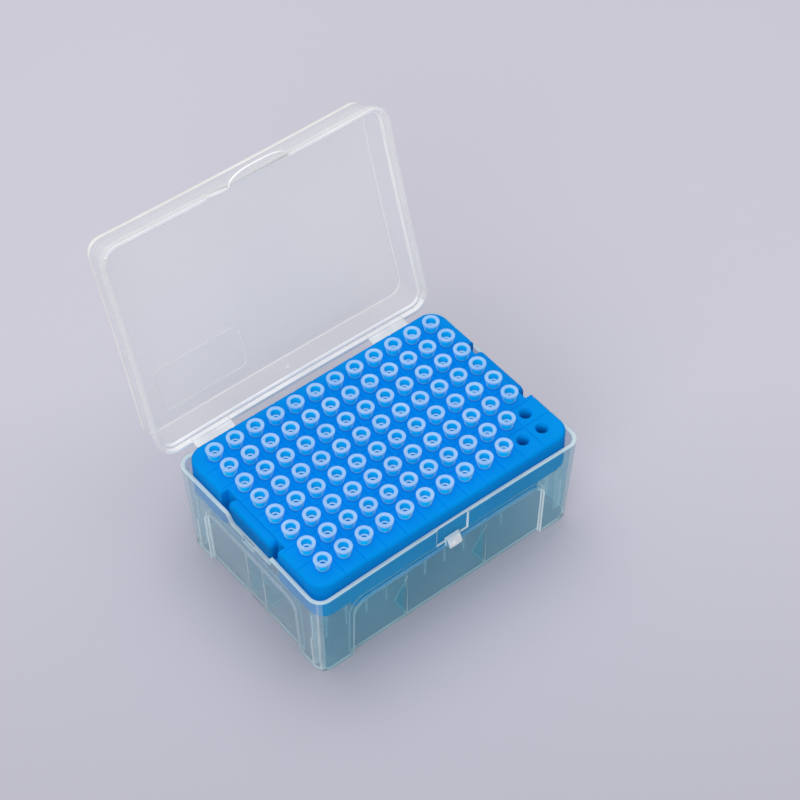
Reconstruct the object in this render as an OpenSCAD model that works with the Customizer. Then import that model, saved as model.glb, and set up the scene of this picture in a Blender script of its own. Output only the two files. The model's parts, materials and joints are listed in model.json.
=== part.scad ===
// Hinged box of pipette tips: open-bottomed base, drop-in rack plate, tips in columns and a
// shallow lid on two flexible hinge strips. The lid stands open at rest.

/* [Base] */
// Length of the base at its rim
rim_w = 120.7; // [118:0.1:121.2]
// Depth of the base at its rim
rim_d = 84.6; // [84:0.1:84.8]
// Length of the base at its foot
foot_w = 116.9; // [116:0.1:118]
// Depth of the base at its foot
foot_d = 80.1; // [79.6:0.1:81]
// Height of the base
base_h = 43; // [42.5:0.1:43.5]
// Corner radius of the base at its rim
rim_r = 5.9; // [5:0.1:7]
// Wall thickness at the rim
rim_t = 1.6; // [1.3:0.1:1.7]
// Wall thickness at the foot
foot_t = 1.1; // [1:0.1:1.2]
// How far the arched panels are set in
panel_inset = 1.5; // [1:0.1:1.6]
// Height of the arched panels
arch_top = 29.5; // [28:0.5:29.5]
// Width of the low stretch in the short sides of the rim
rim_dip_d = 26; // [22:1:28]
// Depth of the low stretch in the short sides of the rim
rim_dip_h = 3.3; // [2:0.1:3.4]

/* [Rack plate] */
// Length of the rack plate
deck_w = 115.4; // [114:0.1:115.6]
// Depth of the rack plate
deck_d = 79; // [78:0.1:79.4]
// Height of the rack plate's top face above the table
deck_top = 47.6; // [47:0.1:48]
// Thickness of the plate between the holes
plate_t = 2; // [1.5:0.1:3]
// Radius of a tip hole
hole_r = 2.12; // [2.11:0.01:2.2]
// Distance from hole to hole
pitch = 9; // [9:0.1:9]

/* [Tips] */
// Number of columns of tips
columns = 12; // [12:1:12]
// Number of tips in a full column
rows = 8; // [8:1:8]
// Overall length of a tip
tip_len = 46.3; // [45:0.1:46.5]
// Radius of the top ring of a tip
tip_ring_r = 3.25; // [3:0.05:3.4]
// Radius of a tip's mouth
tip_mouth_r = 1.95; // [1.85:0.05:2]
// Depth of a tip's mouth, down to the ledge inside it
tip_mouth_deep = 3; // [2.5:0.1:4]

/* [Lid] */
// Length of the lid at its skirt
lid_w = 124.6; // [124.4:0.1:126]
// Depth of the lid at its skirt
lid_d = 87.7; // [87.5:0.1:88]
// Height of the lid
lid_h = 15; // [14.5:0.1:18]
// Corner radius of the lid at its skirt
lid_r = 8; // [7:0.1:9]
// Thickness of the lid's walls
lid_t = 1.3; // [1:0.1:1.4]
// Width of the thumb tab
tab_w = 30; // [24:1:34]
// How far the thumb tab reaches past the lid's front
tab_out = 9.4; // [7:0.1:10]
// How far the thumb tab hangs below the lid's skirt
tab_drop = 9.5; // [8:0.1:10]

/* [Hinge] */
// Angle from closed to open
open_angle = 107; // [95:1:107]
// Distance of the hinge line behind the middle of the base
hinge_y = 45.45; // [45.4:0.05:45.6]
// Height of the hinge line above the table
hinge_z = 39.85; // [39.8:0.05:39.9]
// Width of one hinge strip
strip_w = 17; // [12:1:18]
// Distance of a hinge strip's middle from the middle of the box
strip_x = 40.3; // [36:0.1:42]

/* [Hidden] */

clear_col = [0.93, 0.94, 0.94, 0.45];
base_col = [0.80, 0.86, 0.84, 0.6];
plate_col = [0.0, 0.49, 0.93];
tip_col = [0.88, 0.93, 0.98, 0.8];
strip_col = [0.97, 0.97, 0.97];

slab = 0.01; // thin slice that a drafted wall is stretched between
past = 1; // how far a cut runs past the face that it opens
foot_r = rim_r - 0.45;
long_draft = atan((rim_d - foot_d) / 2 / base_h); // lean of the long walls
short_draft = atan((rim_w - foot_w) / 2 / base_h); // lean of the short walls
panel_t = foot_t;
long_arch = 43.5; // half-widths of the arches in the long and short walls
short_arch = 26.8;
arch_r = 6;
rib_t = 1.2;
gusset_x = 18.3;
fin_y = 34.3;
plate_rest = 29; // height at which the rack plate's skirt stands on the corner fins

catch_w = 5.8;
catch_low = 31.1;
catch_high = 34.9;
catch_out = 2.5;
catch_bay = 14; // width of the shallow bay above the catch
bay_depth = 0.4;

bracket_out = 1.9; // hinge brackets behind the back wall
bracket_w = 20;
bracket_low = 37.4;
bracket_high = 40.6;

dip_y = -3; // middle of the rim's low stretch
window_w = 6.6;
window_y = -1.5;
slot_t = 0.5; // slot in the rim above each window
slot_deep = 1.2;
scoop_r = 12; // shallow scoop in each short wall, above the notch in its foot
scoop_top = 2.6;
scoop_deep = 0.4;

deck_r = 7;
deck_edge = 1.6; // chamfer round the top of the rack plate
deck_wall = 1.5;
deck_step = 31.2; // the skirt steps in below this height, to clear the arches' ledges
skirt_in = 1.1;
long_skirt = 25.2; // lowest point of the skirt in the middle of the long sides
long_skirt_w = 84.4;
tongue_w = 25.2;
tongue_x = 58.4;
tongue_low = 38;
tongue_top = 46.7;
notch_x = 54.7;
notch_w = 4;
groove_w = 0.6;
groove_deep = 0.35;
sink_r = 2.75; // countersink round each hole
sink_deep = 0.6;

tip_top = deck_top + 4.44;
missing_from = [0, 0, 0, 0, 0, 0, 0, 0, 0, 0, 1, 2]; // tips gone from the front of each column

flange_h = 3.3; // band round the lid's mouth
seat_h = 2.1; // the lid rests on the rim at this height above its mouth
seat_gap = 0.08;
skirt_t = 1.2;
band_step = 1.55; // the wall stands this far inside the band
lid_lean = 0.5; // and leans in this much further up to the top
lid_edge = 1.2;
lid_wall_r = lid_r - 1;
lid_closed_z = base_h - seat_h + seat_gap;
tab_t = 1.2;
tab_lip = 4.2;

strip_t = 0.6;

// Rounded rectangle of full size w by d, centred
module rounded(w, d, r) {
  square([w - 2 * r, d], center = true);
  square([w, d - 2 * r], center = true);
  for (x = [-1, 1], y = [-1, 1])
    translate([x * (w / 2 - r), y * (d / 2 - r)]) circle(r, $fn = 48);
}

// Drafted block between two rounded rectangles; r is the radius at the bottom and at the top
module drafted(low, high, z0, z1, r0, r1) {
  hull() {
    translate([0, 0, z0]) linear_extrude(slab) rounded(low[0], low[1], r0, $fn = 32);
    translate([0, 0, z1 - slab]) linear_extrude(slab) rounded(high[0], high[1], r1, $fn = 32);
  }
}

// Puts a flat drawing on the outer face of a wall: X along it, Y up it, Z out of it
module on_long_walls() {
  for (m = [0, 1])
    mirror([0, m, 0]) translate([0, -foot_d / 2, 0]) rotate([90 + long_draft, 0, 0]) children();
}

module on_short_walls() {
  for (m = [0, 1])
    mirror([m, 0, 0]) translate([foot_w / 2, 0, 0]) rotate([90 + short_draft, 0, 90]) children();
}

module arch(half, grow) {
  flat = half - arch_r;
  translate([-half - grow, -past]) square([2 * (half + grow), arch_top - arch_r + past]);
  translate([-flat, -past]) square([2 * flat, arch_top + grow + past]);
  for (x = [-flat, flat])
    translate([x, arch_top - arch_r]) circle(arch_r + grow, $fn = 48);
}

// Arch cut from the outer face down to the given depth
module arch_cuts(grow, depth) {
  on_long_walls() translate([0, 0, -depth]) linear_extrude(depth + past) arch(long_arch, grow);
  on_short_walls() translate([0, 0, -depth]) linear_extrude(depth + past) arch(short_arch, grow);
}

// Space inside the walls, less the backs of the set-in panels
module base_hollow() {
  difference() {
    drafted([foot_w - 2 * foot_t, foot_d - 2 * foot_t], [rim_w - 2 * rim_t, rim_d - 2 * rim_t],
            -slab, base_h + slab, foot_r - foot_t, rim_r - rim_t);
    arch_cuts(panel_t, panel_inset + panel_t);
  }
}

// Low stretch of the rim in both short sides, steep at the front and sloped at the back
module rim_dip() {
  front = dip_y - rim_dip_d / 2 + 1.5;
  back = dip_y + rim_dip_d / 2 - 2;
  low = base_h - rim_dip_h;
  translate([rim_w, 0, 0]) rotate([90, 0, -90])
    linear_extrude(2 * rim_w)
      polygon([[-front, base_h + past], [-front, low], [-back, low], [-back - 1.1, low + 0.9],
               [-back - 2.2, base_h - 0.8], [-back - 3.5, base_h], [-back - 3.5, base_h + past]]);
}

// Slots in the rim's low stretch and scoops in the foot, both in the short walls
module short_wall_marks() {
  low = base_h - rim_dip_h;
  inner = rim_w / 2 - rim_t * 0.62;
  for (m = [0, 1])
    mirror([m, 0, 0])
      translate([inner, window_y - window_w / 2, low - slot_deep])
        cube([slot_t, window_w, slot_deep + past]);
  on_short_walls() translate([0, 0, -panel_inset - scoop_deep])
    linear_extrude(panel_inset + scoop_deep + past)
      translate([0.75, scoop_top - scoop_r]) circle(scoop_r, $fn = 96);
}

// Triangular ribs that stiffen the long walls
module gussets() {
  reach = 7.4;
  top = 25;
  for (m = [0, 1], x = [-gusset_x, gusset_x])
    mirror([0, m, 0]) translate([x - rib_t / 2, 0, 0]) rotate([90, 0, 90])
      linear_extrude(rib_t)
        polygon([[-foot_d / 2 + 2, 0], [-foot_d / 2 + 2 + reach, 0], [-foot_d / 2 + 0.8, top]]);
}

// Corner fins carry the rack plate's skirt; a taller pair stiffens the middle of each short wall
module fins() {
  for (m = [0, 1], y = [-fin_y, fin_y])
    mirror([m, 0, 0]) translate([foot_w / 2 - 3.8, y - rib_t / 2, 0])
      cube([3.2, rib_t, plate_rest]);
  for (m = [0, 1], y = [-4.5, 5.3])
    mirror([m, 0, 0]) translate([0, y + rib_t / 2, 0]) rotate([90, 0, 0])
      linear_extrude(rib_t)
        polygon([[foot_w / 2 - 2, 0], [foot_w / 2 - 10.5, 0], [foot_w / 2 - 1, plate_rest - 4]]);
}

module catch() {
  face = foot_d / 2 + (rim_d - foot_d) / 2 * catch_low / base_h;
  translate([-catch_w / 2, 0, 0]) rotate([90, 0, 90])
    linear_extrude(catch_w)
      polygon([[-face + 0.5, catch_low], [-face - catch_out, catch_low],
               [-face - catch_out, catch_low + 1.6], [-face - 0.9, catch_high],
               [-face + 0.5, catch_high]]);
}

module hinge_brackets() {
  for (x = [-strip_x, strip_x])
    translate([x - bracket_w / 2, rim_d / 2 - 0.8, bracket_low])
      cube([bracket_w, bracket_out + 0.8, bracket_high - bracket_low]);
}

module base() {
  color(base_col) union() {
    difference() {
      drafted([foot_w, foot_d], [rim_w, rim_d], 0, base_h, foot_r, rim_r);
      base_hollow();
      arch_cuts(0, panel_inset);
      rim_dip();
      short_wall_marks();
      translate([-rim_w, window_y - window_w / 2, 36.4]) cube([2 * rim_w, window_w, 2.8]);
      translate([-rim_w, -3, -past]) cube([2 * rim_w, 7.5, past + 0.8]);
      translate([0, -foot_d / 2, 0]) rotate([90 + long_draft, 0, 0])
        translate([-catch_bay / 2, catch_low + 2.6, -bay_depth])
          cube([catch_bay, base_h, bay_depth + past]);
    }
    gussets();
    fins();
    catch();
    hinge_brackets();
  }
}

// Upper block of the rack plate with its finger tongues
module plate_block() {
  hull() {
    translate([0, 0, deck_step]) linear_extrude(deck_top - deck_step - deck_edge)
      rounded(deck_w, deck_d, deck_r, $fn = 32);
    translate([0, 0, deck_step]) linear_extrude(deck_top - deck_step)
      rounded(deck_w - 2 * deck_edge, deck_d - 2 * deck_edge, deck_r - deck_edge, $fn = 32);
  }
  translate([0, 0, plate_rest]) linear_extrude(deck_step - plate_rest)
    rounded(deck_w - 2 * skirt_in, deck_d - 2 * skirt_in, deck_r - skirt_in);
  translate([-long_skirt_w / 2, -deck_d / 2 + skirt_in, long_skirt])
    cube([long_skirt_w, deck_d - 2 * skirt_in, deck_step - long_skirt]);
}

// Hollow under the plate: narrower where the tongues stand
module plate_hollow() {
  inner_w = deck_w - 2 * (skirt_in + deck_wall);
  inner_d = deck_d - 2 * (skirt_in + deck_wall);
  difference() {
    translate([0, 0, long_skirt - past])
      linear_extrude(deck_top - plate_t - long_skirt + past)
        rounded(inner_w, inner_d, deck_r - skirt_in - deck_wall);
    for (m = [0, 1])
      mirror([m, 0, 0])
        translate([notch_x - 1.4, -tongue_w / 2 - notch_w - 1.2, long_skirt - 2 * past])
          cube([deck_w, tongue_w + 2 * notch_w + 2.4, deck_top]);
  }
}

module tongue() {
  translate([notch_x - past, -tongue_w / 2, tongue_low])
    cube([tongue_x - notch_x + past, tongue_w, tongue_top - tongue_low]);
}

module plate_cuts() {
  reach = deck_w;
  for (m = [0, 1])
    mirror([m, 0, 0]) {
      translate([notch_x, -tongue_w / 2 - notch_w, long_skirt - past])
        cube([reach, tongue_w + 2 * notch_w, deck_top]);
      translate([notch_x - 1.4, -tongue_w / 2 - notch_w - 1.2, long_skirt - past])
        cube([reach, tongue_w + 2 * notch_w + 2.4, tongue_low - long_skirt]);
    }
}

function hole_at(c, r) = [(c - (columns - 1) / 2) * pitch, ((rows - 1) / 2 - r) * pitch];

module holes() {
  for (c = [0:columns - 1], r = [0:rows - 1])
    translate(hole_at(c, r)) {
      translate([0, 0, deck_top - plate_t - past]) cylinder(r = hole_r, h = plate_t + 2 * past, $fn = 48);
      translate([0, 0, deck_top - sink_deep])
        cylinder(r1 = hole_r, r2 = sink_r + (sink_r - hole_r), h = 2 * sink_deep, $fn = 48);
    }
}

module grooves() {
  for (k = [1:columns - 1])
    translate([(k - columns / 2) * pitch - groove_w / 2, -deck_d, deck_top - groove_deep])
      cube([groove_w, 2 * deck_d, past]);
  for (k = [1:rows - 1])
    translate([-deck_w, (k - rows / 2) * pitch - groove_w / 2, deck_top - groove_deep])
      cube([2 * deck_w, groove_w, past]);
}

module rack_plate() {
  color(plate_col) difference() {
    union() {
      difference() {
        plate_block();
        plate_hollow();
        plate_cuts();
      }
      for (m = [0, 1])
        mirror([m, 0, 0]) tongue();
    }
    holes();
    grooves();
  }
}

// Half section of a tip: ring, flare, gripping collar, shoulder and fine point, round an open bore
module tip() {
  top = tip_top;
  end = tip_top - tip_len;
  rest = deck_top - 0.32; // the collar stands in the countersink
  translate([0, 0, 0]) rotate_extrude($fn = 48)
    polygon([[tip_mouth_r, top], [tip_ring_r, top], [tip_ring_r, top - 0.8], [2.75, top - 2.4],
             [2.45, top - 2.9], [2.4, rest], [2.05, rest - 0.3], [1.95, top - 13.5],
             [1.45, top - 15], [1.05, top - 37.5], [0.7, top - 38.3], [0.45, end], [0.2, end],
             [0.25, top - 37], [1, top - 15.5], [1.15, top - 13], [1.3, top - tip_mouth_deep],
             [tip_mouth_r, top - tip_mouth_deep]]);
}

// One column of tips, back to front
module tips_column(c) {
  color(tip_col)
    for (r = [0:rows - 1 - missing_from[c]])
      translate(hole_at(c, r)) tip();
}

// Lid in its closed attitude, standing on its own mouth at z = 0
module lid_shell() {
  wall_w = lid_w - 2 * band_step;
  wall_d = lid_d - 2 * band_step;
  top_w = wall_w - 2 * lid_lean;
  top_d = wall_d - 2 * lid_lean;
  difference() {
    union() {
      linear_extrude(flange_h) rounded(lid_w, lid_d, lid_r);
      hull() {
        translate([0, 0, flange_h - slab]) linear_extrude(slab)
          rounded(wall_w, wall_d, lid_wall_r, $fn = 32);
        translate([0, 0, lid_h - lid_edge]) linear_extrude(slab)
          rounded(top_w, top_d, lid_wall_r, $fn = 32);
        translate([0, 0, lid_h - slab]) linear_extrude(slab)
          rounded(top_w - 2 * lid_edge, top_d - 2 * lid_edge, lid_wall_r - lid_edge, $fn = 32);
      }
    }
    translate([0, 0, -past]) linear_extrude(seat_h + past)
      rounded(lid_w - 2 * skirt_t, lid_d - 2 * (skirt_t - 0.15), lid_r - skirt_t);
    drafted([wall_w - 2 * lid_t, wall_d - 2 * lid_t], [top_w - 2 * lid_t, top_d - 2 * lid_t],
            seat_h - slab, lid_h - lid_t, lid_wall_r - lid_t, lid_wall_r - lid_t);
  }
}

// Thumb tab: a flared leg below the skirt that ends in a lip with ogee corners
module thumb_tab() {
  leg_out = tab_out - tab_lip;
  flat = tab_w / 2 - 8;
  lip = function(x) leg_out + tab_lip * (1 + cos(180 * min(max((abs(x) - flat) / 8, 0), 1))) / 2;
  xs = [-tab_w / 2 : 1 : tab_w / 2];
  translate([0, -lid_d / 2, 0]) intersection() {
    translate([-tab_w / 2, 0, 0]) rotate([90, 0, 90]) linear_extrude(tab_w)
      polygon([[0, 1.6], [0, 0.4], [-leg_out, -tab_drop + tab_t], [-tab_out, -tab_drop + tab_t - 0.2],
               [-tab_out, -tab_drop], [-leg_out + tab_t, -tab_drop], [skirt_t - 0.2, 0],
               [skirt_t - 0.2, 1.6]]);
    translate([0, 0, -2 * tab_drop]) linear_extrude(3 * tab_drop)
      polygon(concat([[tab_w / 2, 2]], [for (x = xs) [-x, -lip(x)]], [[-tab_w / 2, 2]]));
  }
}

module lid() {
  color(clear_col)
    translate([0, hinge_y, hinge_z]) rotate([-open_angle, 0, 0])
      translate([0, -hinge_y, lid_closed_z - hinge_z]) {
        lid_shell();
        thumb_tab();
      }
}

// Flexible strip from a bracket on the base to the lid's skirt, shown with the lid open
module hinge_strip(x) {
  reach = [lid_d / 2 - hinge_y, lid_closed_z - hinge_z]; // lid's lower back edge from the hinge line
  edge = [hinge_y + reach[0] * cos(open_angle) + reach[1] * sin(open_angle),
          hinge_z - reach[0] * sin(open_angle) + reach[1] * cos(open_angle)];
  back = rim_d / 2 + bracket_out;
  color(strip_col) translate([x - strip_w / 2, 0, 0]) rotate([90, 0, 90]) linear_extrude(strip_w)
    polygon([[back, bracket_high - 0.2], [edge[0] - 0.1, edge[1] + 0.1],
             [edge[0] - 0.1, edge[1] + 0.1 - strip_t], [back, bracket_high - 0.2 - strip_t]]);
}

base();
rack_plate();
lid();
hinge_strip(-strip_x);  // hinge_strip_left
hinge_strip(strip_x);  // hinge_strip_right
for (c = [0:columns - 1])
  tips_column(c);
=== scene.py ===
import json
import math

import bmesh
import bpy
from mathutils import Matrix, Vector


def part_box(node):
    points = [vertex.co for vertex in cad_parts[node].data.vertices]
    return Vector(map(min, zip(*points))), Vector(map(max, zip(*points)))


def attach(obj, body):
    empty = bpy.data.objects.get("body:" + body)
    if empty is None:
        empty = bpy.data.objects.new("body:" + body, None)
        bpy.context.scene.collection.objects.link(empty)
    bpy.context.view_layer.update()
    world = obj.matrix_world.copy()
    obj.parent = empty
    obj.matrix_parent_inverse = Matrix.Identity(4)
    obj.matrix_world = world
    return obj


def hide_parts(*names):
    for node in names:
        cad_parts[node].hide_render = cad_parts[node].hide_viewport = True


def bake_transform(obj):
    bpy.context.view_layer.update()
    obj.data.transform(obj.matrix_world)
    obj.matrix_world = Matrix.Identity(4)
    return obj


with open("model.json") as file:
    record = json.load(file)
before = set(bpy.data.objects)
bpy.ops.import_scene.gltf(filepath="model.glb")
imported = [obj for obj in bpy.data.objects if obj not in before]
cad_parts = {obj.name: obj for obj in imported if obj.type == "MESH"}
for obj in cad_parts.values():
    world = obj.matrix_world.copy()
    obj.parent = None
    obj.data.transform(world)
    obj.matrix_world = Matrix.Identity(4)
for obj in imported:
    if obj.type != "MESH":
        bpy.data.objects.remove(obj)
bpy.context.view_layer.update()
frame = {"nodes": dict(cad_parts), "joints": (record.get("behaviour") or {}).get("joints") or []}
scene = bpy.context.scene
mm = 0.001  # every dimension below is in millimetres
nearly = 0.01  # slack when two places are compared
hinge = frame["joints"][0]
hingePoint = Vector(hinge["pos_m"]) / mm
closedTurn = math.radians(hinge["range_deg"][1])  # from open, at rest, to shut


# camera
viewpoint = {
    "place": (-0.32086, -0.41995, 0.66664),
    "turn": (41.538, 0.4406, -38.701),
    "lens": 102.49,
}
cameraData = bpy.data.cameras.new("camera")
cameraData.lens = viewpoint["lens"]
cameraData.sensor_width = 36
camera = bpy.data.objects.new("camera", cameraData)
camera.location = viewpoint["place"]
camera.rotation_euler = [math.radians(a) for a in viewpoint["turn"]]
scene.collection.objects.link(camera)
scene.camera = camera


# helpers for meshes
def nodeBox(name):
    low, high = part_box(name)
    return low / mm, high / mm


def finishPiece(name, bm, materials, sharpAngle=34):
    # brings the working millimetres to metres and makes the object, at the origin
    bmesh.ops.transform(bm, matrix=Matrix.Scale(mm, 4), verts=bm.verts)
    mesh = bpy.data.meshes.new(name)
    bm.to_mesh(mesh)
    bm.free()
    for material in materials:
        mesh.materials.append(material)
    for face in mesh.polygons:
        face.use_smooth = True
    mesh.set_sharp_from_angle(angle=math.radians(sharpAngle))
    piece = bpy.data.objects.new(name, mesh)
    scene.collection.objects.link(piece)
    return piece


def softenEdges(piece, width, segments=2, angle=35, material=-1):
    bevel = piece.modifiers.new("softEdges", "BEVEL")
    bevel.width = width * mm
    bevel.segments = segments
    bevel.limit_method = "ANGLE"
    bevel.angle_limit = math.radians(angle)
    bevel.material = material
    bevel.use_clamp_overlap = True
    return bevel


def evenShading(piece):
    # large flat faces keep their own direction beside small rounded ones
    weighted = piece.modifiers.new("evenShading", "WEIGHTED_NORMAL")
    weighted.keep_sharp = True
    weighted.weight = 60


def roundedRing(bm, halfX, halfY, radius, z, cornerSteps=9, cutsX=0, cutsY=0):
    # a circle whose quarters are pulled apart, with extra points along its straight sides
    known = set(bm.edges)
    turn = math.pi / (4 * cornerSteps)
    spot = Matrix.Translation((0, 0, z)) @ Matrix.Rotation(turn, 4, "Z")
    circle = bmesh.ops.create_circle(bm, segments=4 * cornerSteps, radius=radius / math.cos(turn),
                                     matrix=spot)
    for vert in circle["verts"]:
        vert.co.x += math.copysign(halfX - radius, vert.co.x)
        vert.co.y += math.copysign(halfY - radius, vert.co.y)
    sides = sorted((e for e in bm.edges if e not in known), key=lambda e: -e.calc_length())[:4]
    along = [e for e in sides if abs(e.verts[0].co.y - e.verts[1].co.y) < 0.01]
    across = [e for e in sides if e not in along]
    if cutsX:
        bmesh.ops.subdivide_edges(bm, edges=along, cuts=cutsX)
    if cutsY:
        bmesh.ops.subdivide_edges(bm, edges=across, cuts=cutsY)
    return [e for e in bm.edges if e not in known]


def stepIn(home, halfX, halfY, radius, inset, z):
    # where a point of a rounded outline goes when the outline shrinks by an inset
    centreX = min(max(home.x, radius - halfX), halfX - radius)
    centreY = min(max(home.y, radius - halfY), halfY - radius)
    share = (radius - inset) / radius
    return Vector((centreX + (home.x - centreX) * share, centreY + (home.y - centreY) * share, z))


def growRing(bm, edges, homes, place):
    # pulls a ring of edges on to its next outline; homes keeps each point's spot on the first one
    grown = bmesh.ops.extrude_edge_only(bm, edges=edges)["geom"]
    fresh = {g for g in grown if isinstance(g, bmesh.types.BMVert)}
    for vert in fresh:
        old = next(e.other_vert(vert) for e in vert.link_edges if e.other_vert(vert) not in fresh)
        homes[vert] = homes[old]
    for vert in fresh:
        vert.co = place(homes[vert])
    return [g for g in grown if isinstance(g, bmesh.types.BMEdge) and all(v in fresh for v in g.verts)]


def ringHomes(edges):
    return {vert: vert.co.copy() for edge in edges for vert in edge.verts}


def copiedNode(name):
    bm = bmesh.new()
    bm.from_mesh(frame["nodes"][name].data)
    bmesh.ops.transform(bm, matrix=Matrix.Scale(1 / mm, 4), verts=bm.verts)
    bmesh.ops.remove_doubles(bm, verts=bm.verts, dist=0.002)
    bmesh.ops.dissolve_limit(bm, angle_limit=math.radians(0.6), verts=bm.verts, edges=bm.edges)
    return bm


def cutAcross(bm, axis, places):
    direction = Vector([1 if i == axis else 0 for i in range(3)])
    for place in places:
        geom = bm.verts[:] + bm.edges[:] + bm.faces[:]
        bmesh.ops.bisect_plane(bm, geom=geom, dist=0.0005, plane_co=direction * place, plane_no=direction)


def bowedIn(co, halfX, halfY, long, short):
    # moulded walls pull in a little at the middle of each side
    x = co.x * (1 - short / halfX * max(0, 1 - (co.y / halfY) ** 2))
    y = co.y * (1 - long / halfY * max(0, 1 - (co.x / halfX) ** 2))
    return Vector((x, y, co.z))


# helpers for materials
def newMaterial(name):
    material = bpy.data.materials.new(name)
    material.use_nodes = True
    tree = material.node_tree
    return material, tree.nodes, tree.links, tree.nodes["Principled BSDF"]


def noiseOn(nodes, links, scale, detail=2.0):
    place = nodes.new("ShaderNodeTexCoord")
    noise = nodes.new("ShaderNodeTexNoise")
    noise.inputs["Scale"].default_value = scale
    noise.inputs["Detail"].default_value = detail
    links.new(place.outputs["Object"], noise.inputs["Vector"])
    return noise.outputs["Fac"]


def spread(nodes, links, source, low, high, start=0.3, stop=0.7):
    spreader = nodes.new("ShaderNodeMapRange")
    spreader.inputs["From Min"].default_value = start
    spreader.inputs["From Max"].default_value = stop
    spreader.inputs["To Min"].default_value = low
    spreader.inputs["To Max"].default_value = high
    links.new(source, spreader.inputs["Value"])
    return spreader.outputs["Result"]


def twoTone(nodes, links, source, dark, light, start=0.3, stop=0.7):
    ramp = nodes.new("ShaderNodeValToRGB")
    ramp.color_ramp.elements[0].position = start
    ramp.color_ramp.elements[0].color = (*dark, 1)
    ramp.color_ramp.elements[1].position = stop
    ramp.color_ramp.elements[1].color = (*light, 1)
    links.new(source, ramp.inputs["Fac"])
    return ramp.outputs["Color"]


def fineGrain(nodes, links, shader, scale, strength, depth=0.05):
    bump = nodes.new("ShaderNodeBump")
    bump.inputs["Strength"].default_value = strength
    bump.inputs["Distance"].default_value = depth * mm
    links.new(noiseOn(nodes, links, scale, 3), bump.inputs["Height"])
    links.new(bump.outputs["Normal"], shader.inputs["Normal"])


def clearPlastic(name, look, shade=1):
    # see-through moulded plastic, milkier at a glancing angle and in soft clouds
    material, nodes, links, shader = newMaterial(name)
    cloud = noiseOn(nodes, links, look["cloudScale"])
    tone = twoTone(nodes, links, cloud, look["dark"], look["light"])
    links.new(spread(nodes, links, cloud, *look["roughness"]), shader.inputs["Roughness"])
    shader.inputs["Specular IOR Level"].default_value = look["specular"]
    shader.inputs["IOR"].default_value = 1.49
    glance = nodes.new("ShaderNodeLayerWeight")
    glance.inputs["Blend"].default_value = look["glanceBlend"]
    facing = glance.outputs["Facing"]
    if "centreTint" in look:  # painted light: deeper in colour where the wall is seen straight on, as the blue behind shows through
        tint = nodes.new("ShaderNodeVectorMath")
        tint.operation = "MULTIPLY"
        links.new(tone, tint.inputs[0])
        sides = twoTone(nodes, links, facing, look["centreTint"], (1, 1, 1), *look["centreFade"])
        links.new(sides, tint.inputs[1])
        tone = tint.outputs["Vector"]
        links.new(tone, shader.inputs["Emission Color"])  # painted glow: emission stands in for light carried inside the clear wall
        shader.inputs["Emission Strength"].default_value = look["glow"]
    links.new(tone, shader.inputs["Base Color"])
    body = spread(nodes, links, facing, look["alpha"], look["glanceAlpha"], 0, 1)
    haze = spread(nodes, links, cloud, -look["cloudAlpha"], look["cloudAlpha"])
    total = nodes.new("ShaderNodeMath")
    total.operation = "ADD"
    total.use_clamp = True
    links.new(body, total.inputs[0])
    links.new(haze, total.inputs[1])
    alpha = total.outputs[0]
    if shade < 1:  # thin clear walls throw only a faint shadow
        path = nodes.new("ShaderNodeLightPath")
        fainter = nodes.new("ShaderNodeMath")
        fainter.operation = "MULTIPLY"
        links.new(alpha, fainter.inputs[0])
        links.new(spread(nodes, links, path.outputs["Is Shadow Ray"], 1, shade, 0, 1), fainter.inputs[1])
        alpha = fainter.outputs[0]
    links.new(alpha, shader.inputs["Alpha"])
    fineGrain(nodes, links, shader, look["grainScale"], look["grain"])
    return material


def solidPlastic(name, look):
    # opaque satin plastic, slightly uneven, with painted shade that deepens it from one height down to
    # another
    material, nodes, links, shader = newMaterial(name)
    cloud = noiseOn(nodes, links, look["cloudScale"])
    tone = twoTone(nodes, links, cloud, look["dark"], look["light"])
    place = nodes.new("ShaderNodeTexCoord")
    apart = nodes.new("ShaderNodeSeparateXYZ")
    links.new(place.outputs["Object"], apart.inputs["Vector"])
    depth = spread(nodes, links, apart.outputs["Z"], look["paintedShadeLevel"], 1,
                   look["paintedShadeLowZ"] * mm, look["paintedShadeTopZ"] * mm)
    mix = nodes.new("ShaderNodeVectorMath")
    mix.operation = "SCALE"
    links.new(tone, mix.inputs[0])
    links.new(depth, mix.inputs["Scale"])
    links.new(mix.outputs["Vector"], shader.inputs["Base Color"])
    links.new(spread(nodes, links, cloud, *look["roughness"]), shader.inputs["Roughness"])
    shader.inputs["Specular IOR Level"].default_value = look["specular"]
    shader.inputs["IOR"].default_value = 1.49
    fineGrain(nodes, links, shader, look["grainScale"], look["grain"])
    return material


# floor, lamps and world
studio = {
    "floorHalf": 3000, "floorDrop": 0.2,
    # painted shade: the floor runs from its far colour to a darker near one
    "floorPaintedShade": (0.535, 0.524, 0.605),
    "floorPaintedLight": (0.627, 0.614, 0.700),
    "floorNear": -120,
    "floorFar": 70,
    "worldColour": (1.0, 1.0, 1.02),
    "worldStrength": 0.44,
    "lampAim": (0, 0, 0.03),
    "lamps": [
        {"name": "softLamp", "place": (0.15, 0.23, 1.05), "size": 1.1, "power": 6.3},
        {"name": "frontLamp", "place": (-1.75, -1.2, 0.95), "size": 1.6, "power": 22},
    ],
}


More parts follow.
